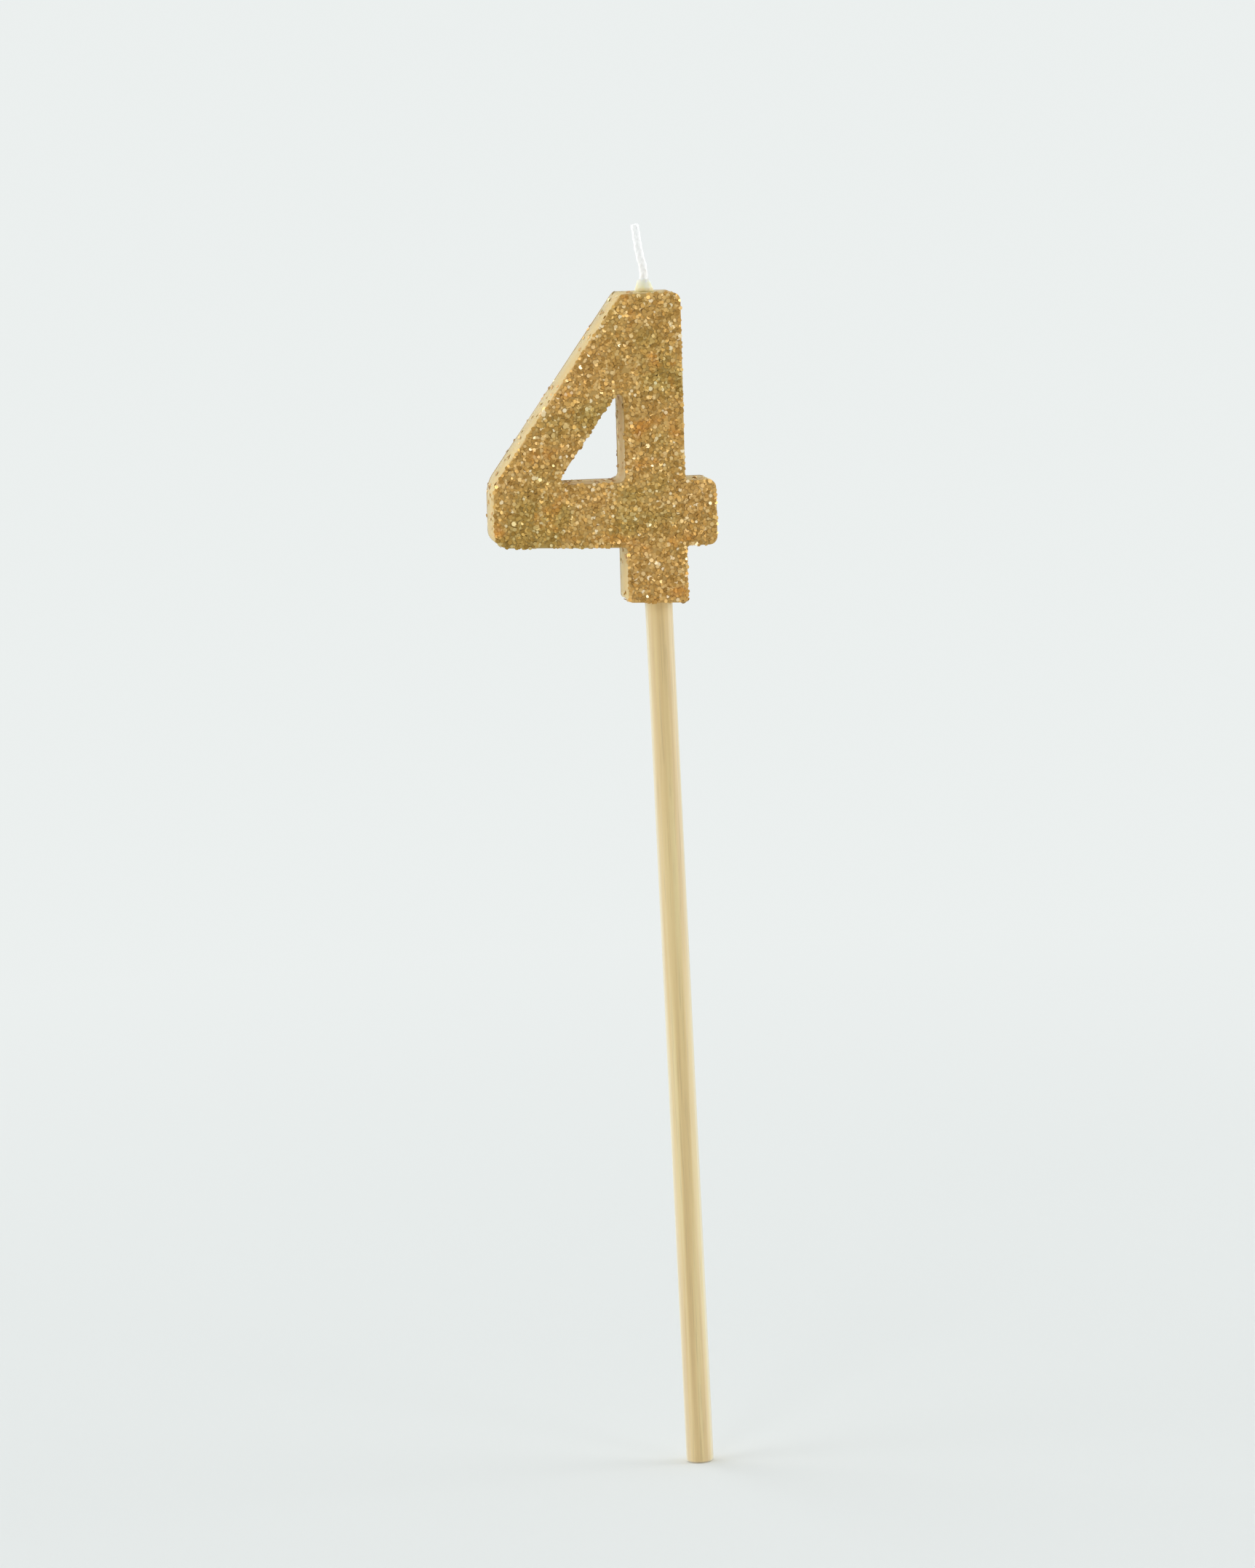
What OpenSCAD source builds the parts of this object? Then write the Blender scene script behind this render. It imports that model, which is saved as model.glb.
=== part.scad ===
// Number candle on a long stick: a moulded wax numeral 4 with a glitter coat on each face,
// a cotton wick sealed into its top and a wooden stick set into its foot.
// Millimetres. The origin is the stick's lower end, +Z runs up the stick and the numeral faces -Y.

/* [Numeral] */
// Height of the numeral from the underside of its foot to its flat top
numeral_h = 45; // [38:0.5:70]
// Thickness of the wax body without its glitter coats
wax_t = 8; // [6:0.5:14]
// Width of the upright stem
stem_w = 8.7; // [7:0.1:12]
// Height of the crossbar
bar_h = 9.5; // [6:0.1:12]
// Height of the foot below the crossbar
foot_h = 8.3; // [4:0.1:12]
// Reach of the crossbar to the left of the stem
bar_reach = 19.3; // [16:0.1:28]
// Overhang of the crossbar to the right of the stem
nub_reach = 4.5; // [3:0.1:9]
// Thickness of the slanting stroke, square to its length
stroke_t = 7.4; // [5:0.1:8.5]
// Slope of the undersides of the crossbar and the foot, which rise to the left, in degrees
underside_slope = 2; // [0:0.5:4]

/* [Corners] */
// Radius of the outside corners
corner_r = 1.2; // [0.6:0.1:1.6]
// Radius of the bend where the slanting stroke meets the end of the crossbar
bend_r = 5; // [1:0.5:8]
// Radius of the lower corner at the end of the crossbar
heel_r = 2; // [0.6:0.1:3]
// Radius of the lower corners of the foot
foot_r = 0.6; // [0.3:0.1:1.6]
// Radius of the inside corners beside the stem
fillet_r = 0.6; // [0.3:0.1:1]
// Radius of the corners of the three-sided counter
counter_r = 0.8; // [0.3:0.1:1]

/* [Glitter] */
// Thickness of each glitter coat
coat_t = 0.5; // [0.3:0.05:1]
// Bevel round the outer edge of a glitter coat
coat_bevel = 0.25; // [0.1:0.05:0.25]

/* [Stick] */
// Diameter of the stick
stick_d = 4; // [3:0.1:5]
// Whole length of the stick
stick_l = 150; // [100:1:250]
// Length of the stick that is set into the numeral
stick_embed = 22; // [12:0.5:28]
// Diameter of the stick's upper end, whittled so that it wedges in the wax
stick_top_d = 2.6; // [1.5:0.1:2.9]
// Eased edge round the stick's lower end
stick_ease = 0.4; // [0.1:0.05:0.8]
// Gap between the stick and its socket in the wax
stick_clear = 0.05; // [0.02:0.01:0.2]
// Distance of the stick to the right of the middle of the foot
stick_offset = 0.6; // [0:0.1:1]
// Lean of the numeral to the right of the stick, in degrees
numeral_lean = 1.2; // [0:0.1:3]

/* [Wick] */
// Diameter of the wick
wick_d = 1.25; // [0.8:0.05:2]
// Distance of the wick to the left of the middle of the top
wick_offset = 0.35; // [0:0.05:1]
// Wax left between the root of the wick and the end of the stick
wick_gap = 4; // [2:0.5:8]
// Straight rise of the wick above the numeral
wick_rise = 2.9; // [2.6:0.1:6]
// Angle of the wick's first bend, to the left
wick_bend = 15; // [2:1:30]
// Radius of the wick's first bend
wick_bend_r = 5; // [3:0.5:20]
// Angle by which the wick straightens again near its tip
wick_unbend = 8; // [2:1:20]
// Radius of the bend that straightens the wick
wick_unbend_r = 22; // [4:0.5:40]
// Straight length at the tip of the wick
wick_tip = 2.6; // [1:0.1:6]
// Gap between the wick and the wax round it
wick_clear = 0.05; // [0.02:0.01:0.2]
// Diameter of the wax bead that seals the wick
bead_d = 2.8; // [2.4:0.1:5]
// Height of the wax bead
bead_h = 1.9; // [0.8:0.1:2.4]
// Wall of the bead round the wick at its upper rim
bead_rim = 0.1; // [0.05:0.05:0.3]
// Roundness of the bead's side, from 1 for a plain cone upwards
bead_swell = 1.5; // [1:0.1:3]

/* [Hidden] */
$fn = 64;
arc_steps = 6;
cut_margin = 1;
bevel_margin = 0.1;

wax_gold = [0.89, 0.79, 0.56];
glitter_gold = [0.69, 0.55, 0.31];
cotton_white = [0.96, 0.97, 0.95];
bead_cream = [0.93, 0.88, 0.70];
bamboo = [0.82, 0.72, 0.52];

stick_out = stick_l - stick_embed;
wick_root = numeral_h - stick_embed - wick_gap;
stem_left = -stem_w / 2;
stem_right = stem_w / 2;
bar_left = stem_left - bar_reach;
bar_right = stem_right + nub_reach;
bar_top = foot_h + bar_h;
bar_rise = bar_reach * tan(underside_slope);
foot_rise = stem_w * tan(underside_slope);

// The slanting stroke runs from the end of the crossbar to the left corner of the top.
slant_rise = numeral_h - bar_top;
slant_slope = slant_rise / bar_reach;
slant_angle = atan(slant_slope);
// The counter's slanting side lies one stroke inside the outer slant, so its corners follow.
counter_left = bar_left + stroke_t / sin(slant_angle);
counter_top = bar_top + (stem_left - counter_left) * slant_slope;

// The wick's route above the top of the numeral, each place as [x, z, heading left of upright]
wick_sides = 16;
tip_heading = wick_bend - wick_unbend;
bend_end = [wick_bend_r * (cos(wick_bend) - 1), wick_rise + wick_bend_r * sin(wick_bend)];
unbend_end = bend_end
  + wick_unbend_r * [cos(wick_bend) - cos(tip_heading), sin(wick_bend) - sin(tip_heading)];
tip_end = unbend_end + wick_tip * [-sin(tip_heading), cos(tip_heading)];
wick_route = concat(
  [[0, -wick_root, 0]],
  [for (i = [0 : arc_steps])
    let (heading = wick_bend * i / arc_steps)
    [wick_bend_r * (cos(heading) - 1), wick_rise + wick_bend_r * sin(heading), heading]],
  [for (i = [1 : arc_steps])
    let (heading = wick_bend - wick_unbend * i / arc_steps)
    [
      bend_end[0] + wick_unbend_r * (cos(wick_bend) - cos(heading)),
      bend_end[1] + wick_unbend_r * (sin(wick_bend) - sin(heading)),
      heading,
    ]],
  [[tip_end[0], tip_end[1], tip_heading]]
);

// Corners are [x, y, radius], in order anticlockwise.
numeral_corners = [
  [stem_left, foot_rise, foot_r],
  [stem_right, 0, foot_r],
  [stem_right, foot_h, fillet_r],
  [bar_right, foot_h, corner_r],
  [bar_right, bar_top, corner_r],
  [stem_right, bar_top, fillet_r],
  [stem_right, numeral_h, corner_r],
  [stem_left, numeral_h, corner_r],
  [bar_left, bar_top, bend_r],
  [bar_left, foot_h + bar_rise, heel_r],
  [stem_left, foot_h, fillet_r],
];
counter_corners = [
  [counter_left, bar_top, counter_r],
  [stem_left, bar_top, counter_r],
  [stem_left, counter_top, counter_r],
];

// Unit normal to the left of the line from a to b
function left_normal(a, b) =
  let (d = [b[0] - a[0], b[1] - a[1]])
  [-d[1], d[0]] / norm(d);

// Points of the arc that rounds corner p between its neighbours a and b, moved in by inset
function corner_arc(a, p, b, inset) =
  let (
    n1 = left_normal(a, p),
    n2 = left_normal(p, b),
    turn = atan2(n1[0] * n2[1] - n1[1] * n2[0], n1 * n2),
    side = sign(turn),
    centre = [p[0], p[1]] + side * p[2] * (n1 + n2) / (1 + n1 * n2),
    start = atan2(n1[1], n1[0])
  )
  [for (i = [0 : arc_steps])
    let (angle = start + turn * i / arc_steps)
    centre - (side * p[2] - inset) * [cos(angle), sin(angle)]];

// Rounded outline through corners, moved in by inset
function outline(corners, inset = 0) =
  let (n = len(corners))
  [for (i = [0 : n - 1]) each
    corner_arc(corners[(i + n - 1) % n], corners[i], corners[(i + 1) % n], inset)];

function at_height(points, z) = [for (p = points) [p[0], p[1], z]];

// Solid through rings of equal length: from the lowest up, with flat ends, or round to the first again
module loft(rings, closed = false) {
  n = len(rings[0]);
  last = len(rings) - 1;
  ends = closed ? [] : [[for (i = [0 : n - 1]) i], [for (i = [n - 1 : -1 : 0]) last * n + i]];
  sides = [for (r = [0 : closed ? last : last - 1], i = [0 : n - 1])
    let (j = (i + 1) % n, above = (r + 1) % len(rings))
    [r * n + i, above * n + i, above * n + j, r * n + j]];
  polyhedron(points = [for (r = rings) each r], faces = concat(ends, sides));
}

// Sets what is drawn from the middle of the numeral's foot on the stick, leaning as it sits there
module on_stick() {
  translate([0, 0, stick_out])
    rotate([0, numeral_lean, 0])
      translate([-stick_offset, 0, 0])
        children();
}

module wax_numeral() {
  color(wax_gold)
    difference() {
      on_stick() numeral_body();
      stick_socket();
    }
}

module numeral_body() {
  difference() {
    rotate([90, 0, 0])
      linear_extrude(height = wax_t, center = true)
        numeral_face();
    translate([-wick_offset, 0, numeral_h - wick_root - wick_clear])
      cylinder(h = wick_root + wick_clear + cut_margin, d = wick_d + 2 * wick_clear);
  }
}

// Room for the set-in end of the stick, with its clearance all round
module stick_socket() {
  mouth_r = stick_d / 2 + stick_clear;
  end_r = stick_top_d / 2 + stick_clear;
  rotate_extrude()
    polygon([
      [0, stick_out - cut_margin],
      [mouth_r, stick_out - cut_margin],
      [mouth_r, stick_out],
      [end_r, stick_l + stick_clear],
      [0, stick_l + stick_clear],
    ]);
}

module numeral_face() {
  difference() {
    polygon(outline(numeral_corners));
    polygon(outline(counter_corners));
  }
}

// Three-sided ring that bevels a coat's edge; into is 1 inside an outline and -1 outside it
module bevel_cut(corners, into) {
  low = at_height(outline(corners), coat_t - coat_bevel);
  near = at_height(outline(corners, -into * bevel_margin), coat_t + bevel_margin);
  far = at_height(outline(corners, into * (coat_bevel + bevel_margin)), coat_t + bevel_margin);
  loft(into > 0 ? [low, near, far] : [low, far, near], closed = true);
}

// One coat lying flat with its outer face up
module glitter_coat() {
  difference() {
    linear_extrude(height = coat_t) numeral_face();
    bevel_cut(numeral_corners, 1);
    bevel_cut(counter_corners, -1);
  }
}

module front_glitter_coat() {
  color(glitter_gold)
    on_stick()
      translate([0, -wax_t / 2, 0])
        rotate([90, 0, 0])
          glitter_coat();
}

module back_glitter_coat() {
  color(glitter_gold)
    on_stick()
      translate([0, wax_t / 2, 0])
        mirror([0, 1, 0])
          rotate([90, 0, 0])
            glitter_coat();
}

// Ring of points round the wick at a place [x, z, heading] on its route
function wick_ring(place) =
  [for (i = [0 : wick_sides - 1])
    let (across = wick_d / 2 * cos(360 * i / wick_sides))
    [
      place[0] + across * cos(place[2]),
      wick_d / 2 * sin(360 * i / wick_sides),
      place[1] + across * sin(place[2]),
    ]];

module wick() {
  color(cotton_white)
    on_stick()
      translate([-wick_offset, 0, numeral_h])
        loft([for (place = wick_route) wick_ring(place)]);
}

// Wax heaped round the wick, with sides that round off towards the upper rim
module wick_bead() {
  hole_r = wick_d / 2 + wick_clear;
  flare = bead_d / 2 - hole_r - bead_rim;
  color(bead_cream)
    on_stick()
      translate([-wick_offset, 0, numeral_h])
        rotate_extrude()
          polygon(concat(
            [[hole_r, bead_h], [hole_r, 0]],
            [for (i = [0 : arc_steps])
              let (climb = i / arc_steps)
              [bead_d / 2 - flare * pow(climb, bead_swell), bead_h * climb]]
          ));
}

module stick() {
  stick_r = stick_d / 2;
  color(bamboo)
    rotate_extrude()
      polygon([
        [0, 0],
        [stick_r - stick_ease, 0],
        [stick_r, stick_ease],
        [stick_r, stick_out],
        [stick_top_d / 2, stick_l],
        [0, stick_l],
      ]);
}

wax_numeral();
front_glitter_coat();
back_glitter_coat();
wick();
wick_bead();
stick();
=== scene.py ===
import math

import bmesh
import bpy
import numpy as np
from mathutils import Matrix, Vector


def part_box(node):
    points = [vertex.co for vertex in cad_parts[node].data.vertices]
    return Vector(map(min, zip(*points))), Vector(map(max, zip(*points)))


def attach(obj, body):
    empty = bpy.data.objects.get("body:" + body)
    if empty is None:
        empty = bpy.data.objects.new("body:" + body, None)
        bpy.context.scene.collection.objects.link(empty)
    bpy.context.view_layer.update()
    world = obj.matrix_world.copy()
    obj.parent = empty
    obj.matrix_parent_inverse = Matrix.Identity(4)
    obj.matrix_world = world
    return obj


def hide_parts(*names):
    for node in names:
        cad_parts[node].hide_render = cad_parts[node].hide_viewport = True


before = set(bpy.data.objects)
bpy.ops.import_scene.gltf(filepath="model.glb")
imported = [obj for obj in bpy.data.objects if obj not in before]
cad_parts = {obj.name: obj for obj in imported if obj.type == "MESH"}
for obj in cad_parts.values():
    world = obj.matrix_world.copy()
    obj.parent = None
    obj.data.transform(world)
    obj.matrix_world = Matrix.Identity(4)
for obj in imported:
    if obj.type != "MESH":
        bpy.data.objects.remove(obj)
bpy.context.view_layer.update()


# Wax numeral
# The body is a flat figure 4 of pale gold paraffin wax, poured into a mould, so its walls are
# smooth and softly uneven. A socket in its foot takes the stick and a channel in its top the wick.
numeral_h = 0.045
stem_w = 0.0087
bar_h = 0.0095
foot_h = 0.0083
bar_reach = 0.0193
nub_reach = 0.0045
stroke_t = 0.0074
underside_slope = math.radians(2)
corner_r = 0.0012
bend_r = 0.005
heel_r = 0.002
foot_r = 0.0006
fillet_r = 0.0006
counter_r = 0.0010
numeral_lean = math.radians(1.2)
stick_offset = 0.0006
stick_embed = 0.022
socket_r, socket_end_r = 0.00205, 0.00135
channel_r, channel_depth, channel_offset = 0.000675, 0.01905, 0.00035
wax_voxel = 0.0003
wax_unevenness, wax_wave = 0.00012, 0.006

stem_left, stem_right = -stem_w / 2, stem_w / 2
bar_left, bar_right = stem_left - bar_reach, stem_right + nub_reach
bar_top = foot_h + bar_h
bar_rise = bar_reach * math.tan(underside_slope)
foot_rise = stem_w * math.tan(underside_slope)
square = math.radians(90)
slant = math.atan2(numeral_h - bar_top, bar_reach)
counter_left = bar_left + stroke_t / math.sin(slant)
counter_top = bar_top + (stem_left - counter_left) * math.tan(slant)

# Each corner of the outline and of the counter as its place, radius and turn
corners = (
    (stem_left, foot_rise, foot_r, square - underside_slope),
    (stem_right, 0, foot_r, square + underside_slope),
    (stem_right, foot_h, fillet_r, square),
    (bar_right, foot_h, corner_r, square),
    (bar_right, bar_top, corner_r, square),
    (stem_right, bar_top, fillet_r, square),
    (stem_right, numeral_h, corner_r, square),
    (stem_left, numeral_h, corner_r, slant),
    (bar_left, bar_top, bend_r, square - slant),
    (bar_left, foot_h + bar_rise, heel_r, square - underside_slope),
    (stem_left, foot_h, fillet_r, square - underside_slope),
    (counter_left, bar_top, counter_r, math.pi - slant),
    (stem_left, bar_top, counter_r, square),
    (stem_left, counter_top, counter_r, square + slant),
)
corner_steps = 8
# A cut goes through points within snap of it, and an edge is known by a middle near its place.
snap, near = 1e-7, 1e-4
# A place from which no two faces are equally far
sort_from = (0.1, -0.2, 0.3)


def pick(kind, test):
    """Selects, in edit mode, the faces or edges of the open mesh that pass a test."""
    bpy.ops.mesh.select_mode(type=kind)
    bpy.ops.mesh.select_all(action="DESELECT")
    data = bpy.context.edit_object.data
    mesh = bmesh.from_edit_mesh(data)
    for item in {"FACE": mesh.faces, "EDGE": mesh.edges}[kind]:
        if test(item):
            item.select_set(True)
    bmesh.update_edit_mesh(data)


def middle(edge):
    return (edge.verts[0].co + edge.verts[1].co) / 2


def above_bar(face):
    x, _, z = face.calc_center_median()
    return x < stem_left and z > bar_top


def outside_strokes(face):
    """True for a field of the divided rectangle that none of the numeral's strokes covers."""
    x, _, z = face.calc_center_median()
    if x > stem_right:
        return z < foot_h or z > bar_top
    if x > stem_left or foot_h < z < bar_top:
        return False
    inside_slant = (x - bar_left) * math.sin(slant) - (z - bar_top) * math.cos(slant)
    return z < foot_h or not 0 < inside_slant < stroke_t


def choose(piece):
    """Selects the piece alone and makes it the active one."""
    bpy.ops.object.select_all(action="DESELECT")
    piece.select_set(True)
    bpy.context.view_layer.objects.active = piece


def finish_with(piece, kind, **settings):
    """Gives the piece a modifier of that kind and applies it."""
    choose(piece)
    modifier = piece.modifiers.new(kind.lower(), kind)
    for name, value in settings.items():
        setattr(modifier, name, value)
    bpy.ops.object.modifier_apply(modifier=modifier.name)


def settle_faces():
    """Puts the open mesh's faces in one order, since bevels leave them in another each run."""
    bpy.context.scene.cursor.location = sort_from
    bpy.ops.mesh.select_all(action="SELECT")
    bpy.ops.mesh.sort_elements(type="CURSOR_DISTANCE", elements={"FACE"})


def numeral_plate(name, front, back):
    """A plate of the numeral's outline between two depths, upright with its foot on z = 0."""

    def pick_corner(x, z):
        corner = Vector((x, (front + back) / 2, z))
        pick("EDGE", lambda edge: (middle(edge) - corner).length < near)

    bpy.ops.object.select_all(action="DESELECT")
    place = ((bar_left + bar_right) / 2, front, numeral_h / 2)
    bpy.ops.mesh.primitive_plane_add(size=1, location=place, rotation=(square, 0, 0))
    plate = bpy.context.object
    plate.name = name
    plate.scale = (bar_right - bar_left, numeral_h, 1)
    bpy.ops.object.transform_apply()
    bpy.ops.object.mode_set(mode="EDIT")
    across, up = Vector((1, 0, 0)), Vector((0, 0, 1))
    for line, at in ((across, stem_left), (across, stem_right), (up, foot_h), (up, bar_top)):
        bpy.ops.mesh.select_all(action="SELECT")
        bpy.ops.mesh.bisect(plane_co=line * at, plane_no=line, threshold=snap)
    slant_normal = (-math.sin(slant), 0, math.cos(slant))
    for start in (bar_left, counter_left):
        pick("FACE", above_bar)
        bpy.ops.mesh.bisect(plane_co=(start, 0, bar_top), plane_no=slant_normal, threshold=snap)
    pick("FACE", outside_strokes)
    bpy.ops.mesh.delete(type="FACE")
    bpy.ops.object.mode_set(mode="OBJECT")
    finish_with(plate, "SOLIDIFY", thickness=back - front, offset=-1)
    bpy.ops.object.mode_set(mode="EDIT")
    for x, z, rise in ((stem_left, 0, foot_rise), (bar_left, foot_h, bar_rise)):
        pick_corner(x, z)
        bpy.ops.transform.translate(value=(0, 0, rise))
    for x, z, radius, turn in corners:
        pick_corner(x, z)
        bpy.ops.mesh.bevel(
            offset=radius * math.tan(turn / 2), segments=corner_steps, clamp_overlap=False
        )
    settle_faces()
    bpy.ops.object.mode_set(mode="OBJECT")
    return plate


def cut_away(piece, cutter):
    """Takes the cutter's shape out of the piece and deletes the cutter."""
    finish_with(piece, "BOOLEAN", operation="DIFFERENCE", object=cutter, solver="EXACT")
    bpy.data.objects.remove(cutter)


def soft_waves(name, size):
    """A cloudy height pattern of that size, for surfaces that were poured or dripped."""
    waves = bpy.data.textures.new(name, "CLOUDS")
    waves.noise_scale = size
    waves.noise_depth = 2
    return waves


stick_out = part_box("stick")[1].z - stick_embed
on_stick = (
    Matrix.Translation((0, 0, stick_out))
    @ Matrix.Rotation(numeral_lean, 4, "Y")
    @ Matrix.Translation((-stick_offset, 0, 0))
)


def set_on_stick(piece):
    """Moves a piece from the origin to the top of the stick, leaning as the numeral does."""
    choose(piece)
    piece.matrix_world = on_stick
    bpy.ops.object.transform_apply()


def new_material(name):
    material = bpy.data.materials.new(name)
    material.use_nodes = True
    return material, material.node_tree, material.node_tree.nodes["Principled BSDF"]


def add_node(tree, kind, values=None, **settings):
    """A node of that kind with its settings and the values of its named or numbered sockets."""
    node = tree.nodes.new(kind)
    for name, value in settings.items():
        setattr(node, name, value)
    for socket, value in (values or {}).items():
        if isinstance(value, bpy.types.NodeSocket):
            tree.links.new(value, node.inputs[socket])
        else:
            node.inputs[socket].default_value = value
    return node


def add_ramp(tree, factor, stops, interpolation="LINEAR"):
    """The colour output of a ramp through (place, colour) stops."""
    node = add_node(tree, "ShaderNodeValToRGB", {"Fac": factor})
    ramp = node.color_ramp
    ramp.interpolation = interpolation
    for place, _ in stops[1:-1]:
        ramp.elements.new(place)
    for element, (place, colour) in zip(ramp.elements, stops):
        element.position = place
        element.color = (*colour, 1)
    return node.outputs["Color"]


def remap(tree, value, low, high, start=0, end=1):
    """A value that runs from low to high as another runs from start to end."""
    node = add_node(
        tree,
        "ShaderNodeMapRange",
        {"Value": value, "From Min": start, "From Max": end, "To Min": low, "To Max": high},
    )
    return node.outputs["Result"]


def add_mix(tree, factor, first, second, blend="MIX"):
    """The colour between two others, by a factor."""
    node = add_node(
        tree,
        "ShaderNodeMix",
        {"Factor": factor, "A": first, "B": second},
        data_type="RGBA",
        blend_type=blend,
    )
    return node.outputs["Result"]


# Broad and fine cloudy variation on the piece's own coordinates, stretched along a grain
fineness = 7
mottle = bpy.data.node_groups.new("mottle", "ShaderNodeTree")
for socket, kind in (("Scale", "NodeSocketFloat"), ("Stretch", "NodeSocketVector")):
    mottle.interface.new_socket(socket, in_out="INPUT", socket_type=kind)
for socket in ("Broad", "Fine"):
    mottle.interface.new_socket(socket, in_out="OUTPUT", socket_type="NodeSocketFloat")
mottle_in = mottle.nodes.new("NodeGroupInput")
mottle_out = mottle.nodes.new("NodeGroupOutput")
coordinates = mottle.nodes.new("ShaderNodeTexCoord")
stretched = add_node(
    mottle,
    "ShaderNodeVectorMath",
    {0: coordinates.outputs["Object"], 1: mottle_in.outputs["Stretch"]},
    operation="MULTIPLY",
)
broad = add_node(
    mottle,
    "ShaderNodeTexNoise",
    {"Vector": stretched.outputs[0], "Scale": mottle_in.outputs["Scale"], "Detail": 2},
)
finer = add_node(
    mottle, "ShaderNodeMath", {0: mottle_in.outputs["Scale"], 1: fineness}, operation="MULTIPLY"
)
fine = add_node(
    mottle,
    "ShaderNodeTexNoise",
    {"Vector": stretched.outputs[0], "Scale": finer.outputs[0], "Detail": 3},
)
mottle.links.new(broad.outputs["Fac"], mottle_out.inputs["Broad"])
mottle.links.new(fine.outputs["Fac"], mottle_out.inputs["Fine"])


def add_mottle(tree, scale, stretch=(1, 1, 1)):
    values = {"Scale": scale, "Stretch": stretch}
    node = add_node(tree, "ShaderNodeGroup", values, node_tree=mottle)
    return node.outputs["Broad"], node.outputs["Fine"]


def add_bump(tree, shader, height, strength, distance):
    node = add_node(
        tree, "ShaderNodeBump", {"Height": height, "Strength": strength, "Distance": distance}
    )
    tree.links.new(node.outputs["Normal"], shader.inputs["Normal"])


wax_front, wax_back = (corner.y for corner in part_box("wax_numeral"))
wax = numeral_plate("wax_numeral_body", wax_front, wax_back)
finish_with(wax, "REMESH", mode="VOXEL", voxel_size=wax_voxel)
finish_with(
    wax,
    "DISPLACE",
    texture=soft_waves("poured_wax", wax_wave),
    texture_coords="LOCAL",
    strength=wax_unevenness,
)
bpy.ops.mesh.primitive_cylinder_add(
    vertices=32,
    radius=channel_r,
    depth=2 * channel_depth,
    location=(-channel_offset, 0, numeral_h),
)
cut_away(wax, bpy.context.object)
set_on_stick(wax)
# The cone is drawn longer than the socket, at the same taper, so that it breaks through the foot.
break_through = 0.002
taper = (socket_r - socket_end_r) / stick_embed
bpy.ops.mesh.primitive_cone_add(
    vertices=48,
    radius1=socket_r + taper * break_through,
    radius2=socket_end_r,
    depth=stick_embed + break_through,
    location=(0, 0, stick_out + (stick_embed - break_through) / 2),
)
cut_away(wax, bpy.context.object)
choose(wax)
bpy.ops.object.shade_smooth_by_angle(angle=math.radians(50))

wax_material, tree, shader = new_material("pale_gold_wax")
broad, fine = add_mottle(tree, 160)
wax_colour = add_ramp(
    tree,
    broad,
    ((0.3, (0.575, 0.40, 0.16)), (0.5, (0.635, 0.455, 0.192)), (0.7, (0.68, 0.51, 0.238))),
)
# The walls turn duller and greyer towards the back face.
grey_band_depth, grey_band_share = 0.006, 0.75
place = tree.nodes.new("ShaderNodeTexCoord").outputs["Object"]
depth = add_node(tree, "ShaderNodeSeparateXYZ", {0: place}).outputs["Y"]
grey_band = remap(tree, depth, 0, grey_band_share, wax_back - grey_band_depth, wax_back)
greyed_to_back = add_mix(tree, grey_band, wax_colour, (0.53, 0.44, 0.268, 1))
# The counter's walls are painted paler: painted light, standing in for the light that reaches into
# the hole.
painted_light_r, painted_light_fade = 0.0085, 0.0015
painted_light_x = stem_left - (stem_left - counter_left) / 3
painted_light_z = (2 * bar_top + counter_top) / 3
painted_light_at = on_stick @ Vector((painted_light_x, 0, painted_light_z))
flat = add_node(tree, "ShaderNodeVectorMath", {0: place, 1: (1, 0, 1)}, operation="MULTIPLY")
from_painted_light = add_node(
    tree, "ShaderNodeVectorMath", {0: flat.outputs[0], 1: painted_light_at}, operation="DISTANCE"
)
in_painted_light = remap(tree, from_painted_light.outputs["Value"], 0, 1, painted_light_r + painted_light_fade, painted_light_r)
with_painted_light = add_mix(tree, in_painted_light, greyed_to_back, (0.82, 0.63, 0.315, 1))
tree.links.new(with_painted_light, shader.inputs["Base Color"])
tree.links.new(remap(tree, fine, 0.5, 0.65), shader.inputs["Roughness"])
add_bump(tree, shader, fine, 0.25, 0.0001)
shader.inputs["Specular IOR Level"].default_value = 0.12
shader.inputs["Subsurface Weight"].default_value = 0.6
shader.inputs["Subsurface Radius"].default_value = (1.0, 0.8, 0.5)
shader.inputs["Subsurface Scale"].default_value = 0.003
shader.inputs["IOR"].default_value = 1.43
wax.data.materials.append(wax_material)
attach(wax, "root")
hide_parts("wax_numeral")


# Glitter coats
# Each face carries a layer of die-cut gold film flakes, shaken onto a clear glue and left to lie
# at all angles. The flakes are one six-sided flake, copied, and the glue is a thin bevelled plate.
coat_bevel = 0.00025
flake_r, flake_t = 0.00030, 0.00004
flake_taper = 0.94
least_size, most_size = 0.7, 1.3
# A flake's tone runs from dark to bright, and the glue has none.
glue_tone, least_tone = 0.01, 0.02
flake_spacing = 0.00027
flake_tilt = math.radians(20)
flake_lift = 0.00012
flake_sides = 6
flake_verts = 2 * flake_sides


def faces_up(face):
    return face.normal.z > 0.9


bpy.ops.object.select_all(action="DESELECT")
bpy.ops.mesh.primitive_cylinder_add(
    vertices=flake_sides, radius=flake_r, depth=flake_t, location=(0, 0, 0)
)
flake = bpy.context.object
flake.name = "glitter_flake"
bpy.ops.object.mode_set(mode="EDIT")
pick("FACE", faces_up)
bpy.ops.transform.resize(value=(flake_taper, flake_taper, 1))
bpy.ops.object.mode_set(mode="OBJECT")


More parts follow.
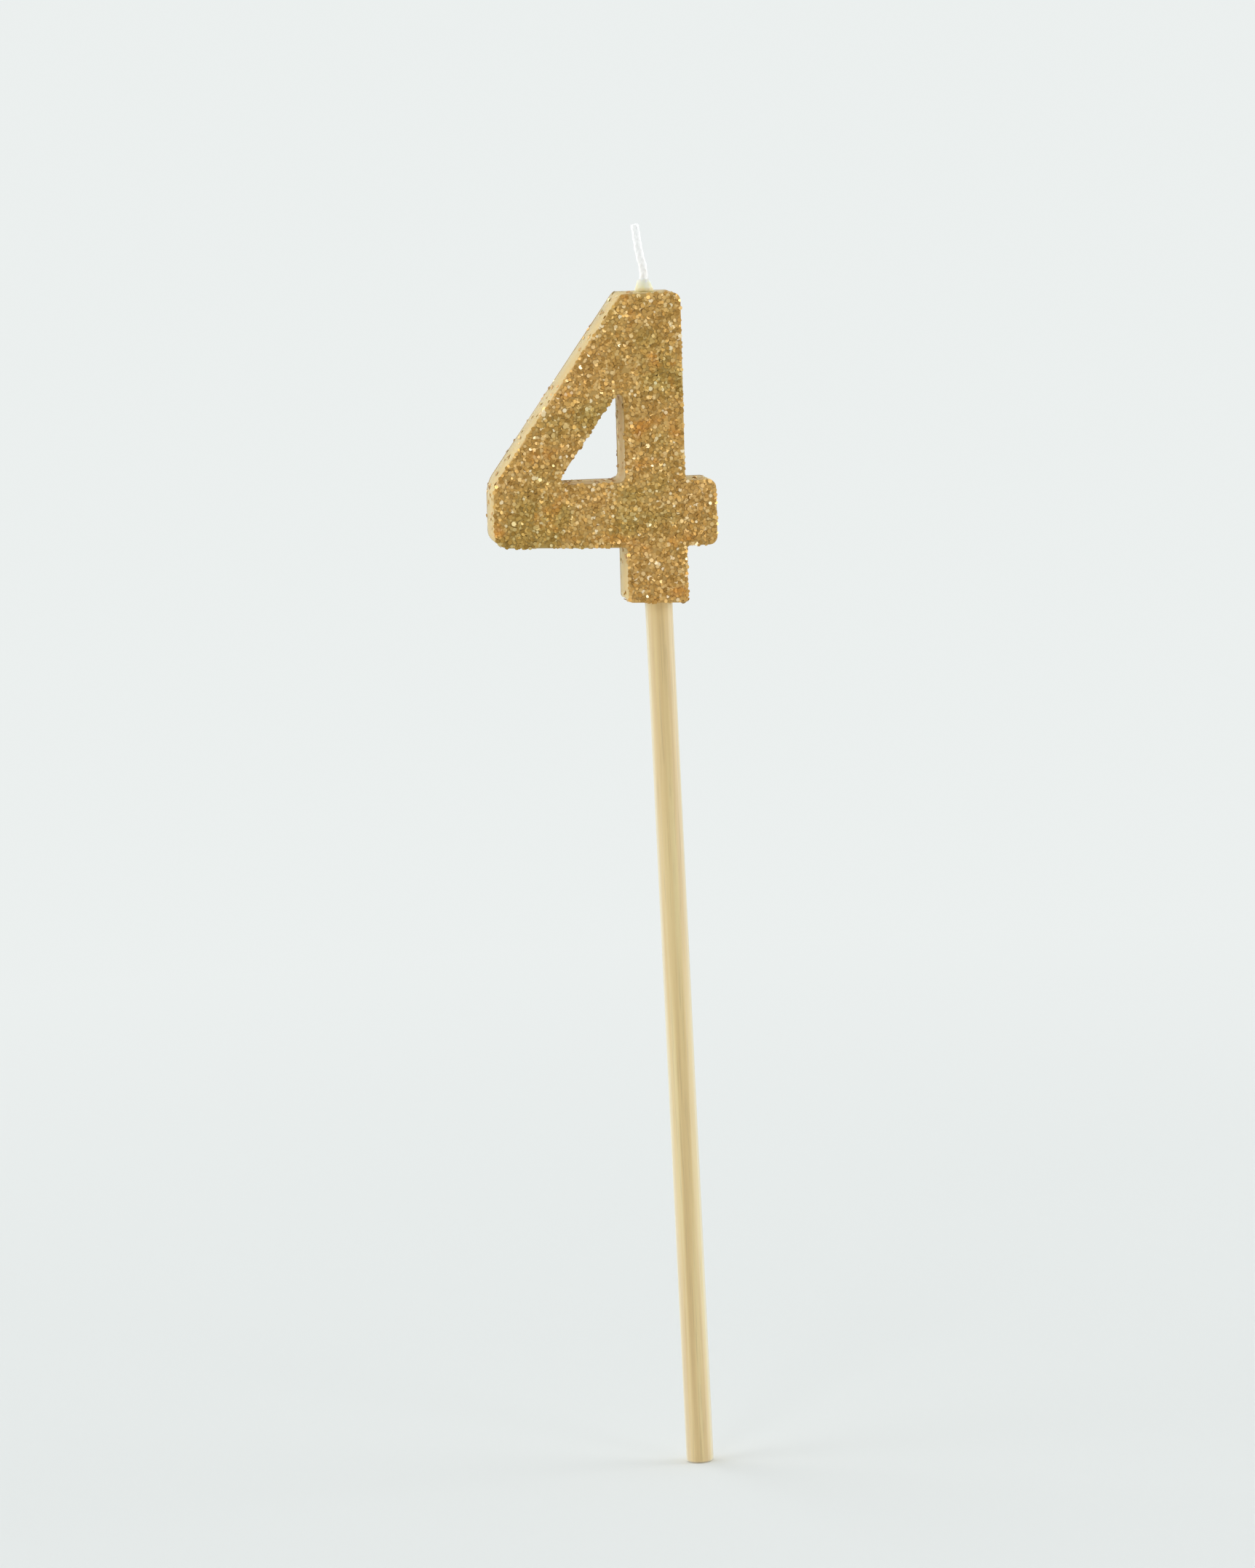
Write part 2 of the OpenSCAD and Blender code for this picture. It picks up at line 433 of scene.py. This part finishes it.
def lay_flakes(scatter, plate, covered, share, seed):
    """Nodes that lay tilted flakes on the covered part of a plate, thinned to a share."""
    points = add_node(
        scatter,
        "GeometryNodeDistributePointsOnFaces",
        {
            "Mesh": plate,
            "Selection": covered,
            "Distance Min": flake_spacing,
            "Density Max": 1 / flake_spacing**2,
            "Density Factor": share,
            "Seed": seed,
        },
        distribute_method="POISSON",
    )
    turn = add_node(
        scatter,
        "FunctionNodeRandomValue",
        {
            0: (-flake_tilt, -flake_tilt, -math.pi),
            1: (flake_tilt, flake_tilt, math.pi),
            "Seed": seed + 1,
        },
        data_type="FLOAT_VECTOR",
    )
    by = add_node(scatter, "FunctionNodeEulerToRotation", {"Euler": turn.outputs[0]})
    lie = add_node(
        scatter,
        "FunctionNodeRotateRotation",
        {"Rotation": points.outputs["Rotation"], "Rotate By": by.outputs["Rotation"]},
        rotation_space="LOCAL",
    )
    size = add_node(
        scatter,
        "FunctionNodeRandomValue",
        {2: least_size, 3: most_size, "Seed": seed + 2},
        data_type="FLOAT",
    )
    copied = add_node(scatter, "GeometryNodeObjectInfo", {"Object": flake})
    flakes = add_node(
        scatter,
        "GeometryNodeInstanceOnPoints",
        {
            "Points": points.outputs["Points"],
            "Instance": copied.outputs["Geometry"],
            "Rotation": lie.outputs["Rotation"],
            "Scale": size.outputs[1],
        },
    )
    tone = add_node(
        scatter,
        "FunctionNodeRandomValue",
        {2: least_tone, 3: 1, "Seed": seed + 3},
        data_type="FLOAT",
    )
    toned = add_node(
        scatter,
        "GeometryNodeStoreNamedAttribute",
        {"Geometry": flakes.outputs["Instances"], "Name": "tone", "Value": tone.outputs[1]},
        data_type="FLOAT",
        domain="INSTANCE",
    )
    lift = add_node(
        scatter,
        "FunctionNodeRandomValue",
        {0: (0, 0, 0), 1: (0, 0, flake_lift), "Seed": seed + 4},
        data_type="FLOAT_VECTOR",
    )
    lifted = add_node(
        scatter,
        "GeometryNodeTranslateInstances",
        {"Instances": toned.outputs["Geometry"], "Translation": lift.outputs[0]},
    )
    copies = add_node(
        scatter, "GeometryNodeRealizeInstances", {"Geometry": lifted.outputs["Instances"]}
    )
    return copies.outputs["Geometry"]


def glitter_scatter(name, outward, least_facing, walls, share, seed):
    """Geometry nodes that cover a plate's outer face with flakes and spill some over the walls."""
    scatter = bpy.data.node_groups.new(name, "GeometryNodeTree")
    for direction in ("INPUT", "OUTPUT"):
        scatter.interface.new_socket(
            "Geometry", in_out=direction, socket_type="NodeSocketGeometry"
        )
    wall_facing = 0.5
    plate = scatter.nodes.new("NodeGroupInput").outputs[0]
    normal = scatter.nodes.new("GeometryNodeInputNormal").outputs["Normal"]
    facing = add_node(
        scatter, "ShaderNodeVectorMath", {0: normal, 1: outward}, operation="DOT_PRODUCT"
    )
    face = add_node(
        scatter,
        "FunctionNodeCompare",
        {0: facing.outputs["Value"], 1: least_facing},
        operation="GREATER_THAN",
    )
    on_face = lay_flakes(scatter, plate, face.outputs["Result"], 1, seed)
    wall = add_node(
        scatter,
        "FunctionNodeCompare",
        {0: facing.outputs["Value"], 1: 0, "Epsilon": wall_facing},
        operation="EQUAL",
    )
    place = scatter.nodes.new("GeometryNodeInputPosition").outputs["Position"]
    depth = add_node(
        scatter, "ShaderNodeVectorMath", {0: place, 1: outward}, operation="DOT_PRODUCT"
    )
    thinned = remap(scatter, depth.outputs["Value"], 0, share, -wax_back, wax_back)
    wall_plate = add_node(scatter, "GeometryNodeObjectInfo", {"Object": walls}).outputs["Geometry"]
    on_walls = lay_flakes(scatter, wall_plate, wall.outputs["Result"], thinned, seed + 10)
    joined = scatter.nodes.new("GeometryNodeJoinGeometry")
    for layer in (on_face, on_walls, plate):
        scatter.links.new(layer, joined.inputs["Geometry"])
    end = scatter.nodes.new("NodeGroupOutput")
    scatter.links.new(joined.outputs["Geometry"], end.inputs["Geometry"])
    return scatter


def lay_out_flakes(coat):
    """Gives each flake a field of its own on the coat's map, above a strip for the glue."""
    mesh = coat.data
    outer_reach, inner_reach = 0.45, 0.3
    # The glue lies on its strip as seen from the front, moved aside with depth.
    glue_strip, margin, spread, aside = 0.2, 0.02, 0.9, 0.06
    tones = np.zeros(len(mesh.vertices), np.float32)
    mesh.attributes["tone"].data.foreach_get("value", tones)
    places = np.zeros(len(mesh.vertices) * 3, np.float32)
    mesh.vertices.foreach_get("co", places)
    places = places.reshape(-1, 3)
    vertex = np.zeros(len(mesh.loops), np.int32)
    mesh.loops.foreach_get("vertex_index", vertex)
    on_flake = tones > 0
    number = np.cumsum(on_flake) - 1
    count = on_flake.sum() // flake_verts
    fields = math.ceil(math.sqrt(count))
    flake_index, corner = np.divmod(number, flake_verts)
    angle = 2 * math.pi * (corner // 2) / flake_sides
    reach = np.where(corner % 2 == 0, outer_reach, inner_reach)
    column = (flake_index % fields + 0.5 + reach * np.cos(angle)) / fields
    row = (flake_index // fields + 0.5 + reach * np.sin(angle)) / fields
    row = glue_strip + (1 - glue_strip) * row
    low, high = places.min(0), places.max(0)
    share = (places - low) / (high - low)
    glue_column = margin + spread * share[:, 0] + aside * share[:, 1]
    glue_row = glue_strip * (margin + spread * share[:, 2] + aside * share[:, 1])
    column = np.where(on_flake, column, glue_column)
    row = np.where(on_flake, row, glue_row)
    layout = np.stack([column, row], 1)[vertex].astype(np.float32)
    mesh.uv_layers.new(name="OFBake").uv.foreach_set("vector", layout.ravel())


glitter, tree, shader = new_material("gold_glitter")
tone = add_node(tree, "ShaderNodeAttribute", attribute_name="tone").outputs["Fac"]
# The tones vary at random, and the brightest, near white, are painted glints that make flakes
# sparkle whatever the light.
flake_colour_and_glints = add_ramp(
    tree,
    tone,
    (
        (0.0, (0.53, 0.33, 0.10)),
        (glue_tone, (0.38, 0.208, 0.049)),
        (0.3, (0.49, 0.282, 0.077)),
        (0.6, (0.605, 0.367, 0.113)),
        (0.85, (0.70, 0.457, 0.17)),
        (0.96, (0.82, 0.59, 0.28)),
        (1.0, (0.98, 0.82, 0.55)),
    ),
)
patches, _ = add_mottle(tree, 120)
patch_tint = add_ramp(
    tree, patches, ((0.38, (0.82, 0.86, 0.76)), (0.5, (0.97, 0.97, 0.95)), (0.62, (1, 0.97, 0.97)))
)
patched = add_mix(tree, 1, flake_colour_and_glints, patch_tint, "MULTIPLY")
broad, fine = add_mottle(tree, 230)
orange = add_ramp(tree, broad, ((0.58, (0, 0, 0)), (0.72, (0.7, 0.7, 0.7))))
tinted = add_mix(tree, orange, patched, (0.62, 0.27, 0.05, 1))
tree.links.new(tinted, shader.inputs["Base Color"])
tree.links.new(remap(tree, tone, 0.5, 0.3), shader.inputs["Roughness"])
on_flake = add_node(tree, "ShaderNodeMath", {0: tone, 1: glue_tone}, operation="GREATER_THAN")
tree.links.new(remap(tree, on_flake.outputs[0], 0.5, 0.9), shader.inputs["Metallic"])
add_bump(tree, shader, fine, 0.2, 0.00005)

# Each side with its seed, how squarely a face looks outwards that the flakes cover, and the share
# of flakes that went over the edge
for side, seed, least_facing, share, node_name in (
    ("front", 40, 0.6, 0.03, "front_glitter_coat"),
    ("back", 80, 0.95, 0.04, "back_glitter_coat"),
):
    low, high = (corner.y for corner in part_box(node_name))
    outer = low if side == "front" else high
    coat = numeral_plate(side + "_glitter", low, high)
    bpy.ops.object.mode_set(mode="EDIT")
    pick(
        "EDGE",
        lambda edge: abs(middle(edge).y - outer) < snap and edge.calc_face_angle(0) > square / 2,
    )
    bpy.ops.mesh.bevel(offset=coat_bevel, segments=2, clamp_overlap=False)
    settle_faces()
    bpy.ops.object.mode_set(mode="OBJECT")
    outward = (0, math.copysign(1, outer), 0)
    walls = numeral_plate(side + "_walls", wax_front, wax_back)
    scatter = glitter_scatter(side + "_scatter", outward, least_facing, walls, share, seed)
    finish_with(coat, "NODES", node_group=scatter)
    bpy.data.objects.remove(walls)
    lay_out_flakes(coat)
    set_on_stick(coat)
    coat.data.materials.clear()
    coat.data.materials.append(glitter)
    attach(coat, "root")
    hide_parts(node_name)
bpy.data.objects.remove(flake)


# Wick
# The wick is plaited from cotton yarn and soaked in clear wax, which stiffens it and rounds the
# plait off. Its root is cast into the stem, and its free end keeps the bend it was packed with.
wick_d = 0.00125
wick_root = 0.019
yarns = 3
yarn_r = 0.00024
wick_core_r = 0.00059
plait_r, plait_weave = 0.00037, 0.00004
plait_lay = 0.0046
wick_voxel = 0.00006
# Stretches of the wick from its root upwards, as length and turn to the left
wick_rise, wick_tip = 0.0029, 0.0026
wick_bend, wick_bend_r = math.radians(15), 0.005
wick_unbend, wick_unbend_r = math.radians(8), 0.022
wick_stretches = (
    (wick_root + wick_rise, 0),
    (wick_bend_r * wick_bend, wick_bend),
    (wick_unbend_r * wick_unbend, -wick_unbend),
    (wick_tip, 0),
)
wick_step = 0.0001

wick_line = []
run, heading = 0, 0
place = Vector((-channel_offset, 0, numeral_h - wick_root))
for length, turn in wick_stretches:
    steps = round(length / wick_step)
    for _ in range(steps):
        wick_line.append((run, place.copy(), heading))
        heading += turn / steps
        run += length / steps
        place += Vector((-math.sin(heading), 0, math.cos(heading))) * length / steps
wick_line.append((run, place.copy(), heading))

bpy.ops.object.select_all(action="DESELECT")
strands = []
# A straight core, and yarns that wind round it to the right and to the left
lays = [(0, 0, wick_core_r)]
lays += [(hand, yarn, yarn_r) for hand in (1, -1) for yarn in range(yarns)]
for hand, yarn, thickness in lays:
    path = bpy.data.curves.new("yarn", "CURVE")
    path.dimensions = "3D"
    path.bevel_depth = thickness
    path.bevel_resolution = 2
    path.use_fill_caps = True
    spline = path.splines.new("POLY")
    spline.points.add(len(wick_line) - 1)
    for point, (run, place, heading) in zip(spline.points, wick_line):
        phase = 2 * math.pi * run / plait_lay
        angle = hand * phase + 2 * math.pi * yarn / yarns
        reach = abs(hand) * plait_r + hand * plait_weave * math.cos(yarns * phase)
        side = Vector((math.cos(heading), 0, math.sin(heading)))
        at = place + reach * (math.cos(angle) * side + math.sin(angle) * Vector((0, 1, 0)))
        point.co = (*at, 1)
    strand = bpy.data.objects.new("yarn", path)
    bpy.context.scene.collection.objects.link(strand)
    strand.select_set(True)
    strands.append(strand)
bpy.context.view_layer.objects.active = strands[0]
bpy.ops.object.convert(target="MESH")
bpy.ops.object.join()
wick = bpy.context.object
wick.name = "plaited_wick"
finish_with(wick, "REMESH", mode="VOXEL", voxel_size=wick_voxel)
finish_with(wick, "SMOOTH", factor=0.5, iterations=8)
set_on_stick(wick)
bpy.ops.object.shade_smooth()

cotton, tree, shader = new_material("waxed_cotton")
broad, fine = add_mottle(tree, 1800, (1, 1, 0.35))
cotton_colour = add_ramp(tree, broad, ((0.3, (0.95, 0.96, 0.95)), (0.7, (0.99, 1.0, 0.99))))
tree.links.new(cotton_colour, shader.inputs["Base Color"])
tree.links.new(remap(tree, fine, 0.5, 0.8), shader.inputs["Roughness"])
add_bump(tree, shader, fine, 0.2, 0.00002)
shader.inputs["Subsurface Weight"].default_value = 0.6
shader.inputs["Subsurface Radius"].default_value = (1, 1, 1)
shader.inputs["Subsurface Scale"].default_value = 0.0005
# The cotton is given a faint white glow, painted light that brightens the wick beyond what the
# lamps give it.
shader.inputs["Emission Color"].default_value = (1, 1, 1, 1)
shader.inputs["Emission Strength"].default_value = 0.04
wick.data.materials.clear()
wick.data.materials.append(cotton)
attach(wick, "root")
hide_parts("wick")


# Wick bead
# A little cream wax was dripped round the wick to seal it. It set in a small mound on the
# numeral's flat top, with sides that round off towards the cotton.
bead_r, bead_h, bead_rim = 0.0014, 0.0019, 0.00005
bead_swell = 1.5
wick_clear = 0.00005
bead_hole_r = wick_d / 2 + wick_clear
bead_sides, bead_steps = 48, 10
bead_sink = 0.0001
drip_unevenness, drip_wave = 0.0002, 0.0012
gold_rise = 0.4 * bead_h

bpy.ops.object.select_all(action="DESELECT")
foot = Vector((-channel_offset, 0, numeral_h - bead_sink))
bpy.ops.mesh.primitive_circle_add(vertices=bead_sides, radius=bead_r, location=foot)
bead = bpy.context.object
bead.name = "wick_wax_bead"
bpy.ops.object.transform_apply()
flare = bead_r - bead_hole_r - bead_rim
profile = [(bead_r, bead_sink)]
for step in range(1, bead_steps + 1):
    climb = step / bead_steps
    profile.append((bead_r - flare * climb**bead_swell, bead_sink + bead_h * climb))
profile += [(bead_hole_r, bead_sink + bead_h), (bead_hole_r, 0)]
bpy.ops.object.mode_set(mode="EDIT")
bpy.ops.mesh.select_all(action="SELECT")
radius, height = bead_r, 0
for next_radius, next_height in profile:
    bpy.ops.mesh.extrude_region_move(
        TRANSFORM_OT_translate={"value": (0, 0, next_height - height)}
    )
    bpy.ops.transform.resize(
        value=(next_radius / radius, next_radius / radius, 1),
        center_override=(foot.x, foot.y, foot.z + next_height),
    )
    radius, height = next_radius, next_height
pick("EDGE", lambda edge: edge.is_boundary)
bpy.ops.mesh.bridge_edge_loops()
bpy.ops.mesh.select_all(action="SELECT")
bpy.ops.mesh.normals_make_consistent(inside=False)
settle_faces()
bpy.ops.object.mode_set(mode="OBJECT")
finish_with(bead, "SUBSURF", levels=1, render_levels=1)
finish_with(
    bead,
    "DISPLACE",
    texture=soft_waves("dripped_wax", drip_wave),
    texture_coords="LOCAL",
    strength=drip_unevenness,
)
set_on_stick(bead)
bpy.ops.object.shade_smooth()

bead_wax, tree, shader = new_material("cream_bead_wax")
broad, fine = add_mottle(tree, 700)
bead_colour = add_ramp(tree, broad, ((0.3, (0.96, 0.875, 0.63)), (0.7, (0.99, 0.94, 0.78))))
# Towards its foot, where it lies on the numeral, the bead's colour turns darker and gold.
place = tree.nodes.new("ShaderNodeTexCoord").outputs["Object"]
height = add_node(tree, "ShaderNodeSeparateXYZ", {0: place}).outputs["Z"]
top = stick_out + numeral_h
clear_of_gold = remap(tree, height, 0, 1, top, top + gold_rise)
blended = add_mix(tree, clear_of_gold, (0.70, 0.56, 0.23, 1), bead_colour)
tree.links.new(blended, shader.inputs["Base Color"])
tree.links.new(remap(tree, fine, 0.35, 0.55), shader.inputs["Roughness"])
add_bump(tree, shader, fine, 0.2, 0.00005)
shader.inputs["Specular IOR Level"].default_value = 0.2
shader.inputs["Subsurface Weight"].default_value = 0.8
shader.inputs["Subsurface Radius"].default_value = (1.0, 0.8, 0.5)
shader.inputs["Subsurface Scale"].default_value = 0.0008
shader.inputs["IOR"].default_value = 1.43
bead.data.materials.append(bead_wax)
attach(bead, "root")
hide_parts("wick_bead")


# Stick
# The stick is a round bamboo skewer, turned and sanded, with fibres running its whole length.
# Its lower edge is eased and its upper end is whittled to wedge in the numeral's foot.
stick_r = 0.002
stick_top_r = 0.0013
stick_ease = 0.0004
stick_sides, stick_rings = 72, 64
fibre_relief = 0.000022

bpy.ops.object.select_all(action="DESELECT")
bpy.ops.mesh.primitive_cylinder_add(
    vertices=stick_sides, radius=stick_r, depth=stick_out, location=(0, 0, stick_out / 2)
)
stick = bpy.context.object
stick.name = "bamboo_stick"
bpy.ops.object.transform_apply()
bpy.ops.object.mode_set(mode="EDIT")
pick("FACE", faces_up)
bpy.ops.mesh.extrude_region_move(TRANSFORM_OT_translate={"value": (0, 0, stick_embed)})
bpy.ops.transform.resize(value=(stick_top_r / stick_r, stick_top_r / stick_r, 1))
pick("EDGE", lambda edge: edge.verts[0].co.z < snap and edge.verts[1].co.z < snap)
bpy.ops.mesh.bevel(offset=stick_ease, segments=3)
pick("EDGE", lambda edge: abs(edge.verts[0].co.z - edge.verts[1].co.z) > stick_out / 2)
bpy.ops.mesh.subdivide(number_cuts=stick_rings)
settle_faces()
bpy.ops.object.mode_set(mode="OBJECT")
# Waves of the fibres as their count round the stick, their phase and their drift up it
fibre_waves = ((5, 0.4, 11), (9, 2.2, -23), (14, 4.1, 37), (23, 1.3, -52))
for vertex in stick.data.vertices:
    x, y, z = vertex.co
    around = math.atan2(y, x)
    rise = sum(math.sin(count * around + phase + drift * z) for count, phase, drift in fibre_waves)
    grow = 1 + fibre_relief * rise / 2 / stick_r
    vertex.co = (x * grow, y * grow, z)
bpy.ops.object.shade_smooth_by_angle(angle=math.radians(35))

bamboo, tree, shader = new_material("sanded_bamboo")
broad, fine = add_mottle(tree, 900, (1, 1, 0.02))
fibre_colour = add_ramp(
    tree,
    broad,
    ((0.3, (0.69, 0.455, 0.146)), (0.5, (0.77, 0.54, 0.19)), (0.68, (0.82, 0.625, 0.252))),
)
fibre_streak = add_ramp(tree, fine, ((0.30, (0.84, 0.82, 0.78)), (0.45, (1, 1, 1))))
streaked = add_mix(tree, 1, fibre_colour, fibre_streak, "MULTIPLY")
tree.links.new(streaked, shader.inputs["Base Color"])
tree.links.new(remap(tree, fine, 0.45, 0.65), shader.inputs["Roughness"])
add_bump(tree, shader, fine, 0.35, 0.00006)
# Loose fibre ends catch the light along the stick's sides.
shader.inputs["Sheen Weight"].default_value = 1
shader.inputs["Sheen Roughness"].default_value = 0.7
shader.inputs["Sheen Tint"].default_value = (0.9, 0.97, 1.0, 1)
stick.data.materials.append(bamboo)
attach(stick, "root")
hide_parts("stick")


# Floor, light and camera
# The candle stands on a plain pale floor that runs out into a backdrop of the same tone.
# The light is soft and comes mostly from the sides, and the camera looks down a little.
backdrop = (0.835, 0.868, 0.860)
floor_r = 40
fade_start, fade_end = 0.1, 0.5
bpy.ops.object.select_all(action="DESELECT")
bpy.ops.mesh.primitive_circle_add(
    vertices=96, radius=floor_r, fill_type="NGON", location=(0, 0, 0)
)
floor = bpy.context.object
floor.name = "floor"
paper, tree, shader = new_material("pale_floor")
shader.inputs["Base Color"].default_value = (0.815, 0.835, 0.828, 1)
shader.inputs["Roughness"].default_value = 0.9
shader.inputs["Specular IOR Level"].default_value = 0
glow = add_node(tree, "ShaderNodeEmission", {"Color": (*backdrop, 1), "Strength": 1})
coordinates = tree.nodes.new("ShaderNodeTexCoord")
away = add_node(
    tree, "ShaderNodeVectorMath", {0: coordinates.outputs["Object"]}, operation="LENGTH"
)
far = remap(tree, away.outputs["Value"], 0, 1, fade_start, fade_end)
fade = add_node(
    tree,
    "ShaderNodeMixShader",
    {0: far, 1: shader.outputs["BSDF"], 2: glow.outputs["Emission"]},
)
tree.links.new(fade.outputs["Shader"], tree.nodes["Material Output"].inputs["Surface"])
floor.data.materials.append(paper)

world = bpy.data.worlds.new("pale_room")
bpy.context.scene.world = world
world.use_nodes = True
tree = world.node_tree
ambient = tree.nodes["Background"]
ambient.inputs["Color"].default_value = (0.97, 1.0, 1.0, 1)
# The room is bright at the sides, dim round the camera and half as bright behind.
direction = tree.nodes.new("ShaderNodeTexCoord")
axes = add_node(tree, "ShaderNodeSeparateXYZ", {0: direction.outputs["Generated"]})
brightness = add_ramp(
    tree,
    remap(tree, axes.outputs["Y"], 0, 1, -1, 1),
    ((0.1, (0.1, 0.1, 0.1)), (0.45, (1, 1, 1)), (0.65, (1, 1, 1)), (1.0, (0.5, 0.5, 0.5))),
)
tree.links.new(brightness, ambient.inputs["Strength"])
seen = add_node(tree, "ShaderNodeBackground", {"Color": (*backdrop, 1), "Strength": 1})
rays = tree.nodes.new("ShaderNodeLightPath")
glossy = add_node(
    tree,
    "ShaderNodeMath",
    {0: rays.outputs["Is Camera Ray"], 1: rays.outputs["Is Glossy Ray"]},
    operation="MAXIMUM",
)
either = add_node(
    tree,
    "ShaderNodeMath",
    {0: glossy.outputs[0], 1: rays.outputs["Is Transmission Ray"]},
    operation="MAXIMUM",
)
room = add_node(
    tree,
    "ShaderNodeMixShader",
    {0: either.outputs[0], 1: ambient.outputs["Background"], 2: seen.outputs["Background"]},
)
tree.links.new(room.outputs["Shader"], tree.nodes["World Output"].inputs["Surface"])

# Lamps as name, the side they shine from, strength and how wide they look
lamps = (
    ("left_lamp", (-1.0, -0.15, 0.05), 1.5, 45),
    ("right_lamp", (1.0, -0.15, 0.05), 1.9, 45),
    ("back_lamp", (-0.7, 1.0, 0.6), 0.6, 40),
    ("left_sparkle", (-0.5, -1.0, 0.6), 0.2, 14),
    ("right_sparkle", (0.6, -1.0, 0.5), 0.2, 14),
)
for name, shines_from, strength, width in lamps:
    light = bpy.data.lights.new(name, "SUN")
    light.energy = strength
    light.angle = math.radians(width)
    lamp = bpy.data.objects.new(name, light)
    lamp.rotation_mode = "QUATERNION"
    lamp.rotation_quaternion = (-Vector(shines_from)).to_track_quat("-Z", "Y")
    bpy.context.scene.collection.objects.link(lamp)

# The camera's place, aim, roll and focal length are fitted to the numeral's corners in the photo.
camera_at = Vector((-0.139584, -0.987360, 0.230406))
camera_aim = Vector((-0.005895, 0, 0.101456))
camera_roll = math.radians(2.8)
picture_h = 2156
focal_px = 9462
lens = bpy.data.cameras.new("camera")
lens.sensor_width = 36
lens.lens = focal_px / picture_h * lens.sensor_width
lens.clip_start, lens.clip_end = 0.01, 100
camera = bpy.data.objects.new("camera", lens)
facing = (camera_aim - camera_at).to_track_quat("-Z", "Y")
camera.matrix_world = (
    Matrix.Translation(camera_at)
    @ facing.to_matrix().to_4x4()
    @ Matrix.Rotation(-camera_roll, 4, "Z")
)
bpy.context.scene.collection.objects.link(camera)
bpy.context.scene.camera = camera
bpy.context.scene.view_settings.view_transform = "Standard"
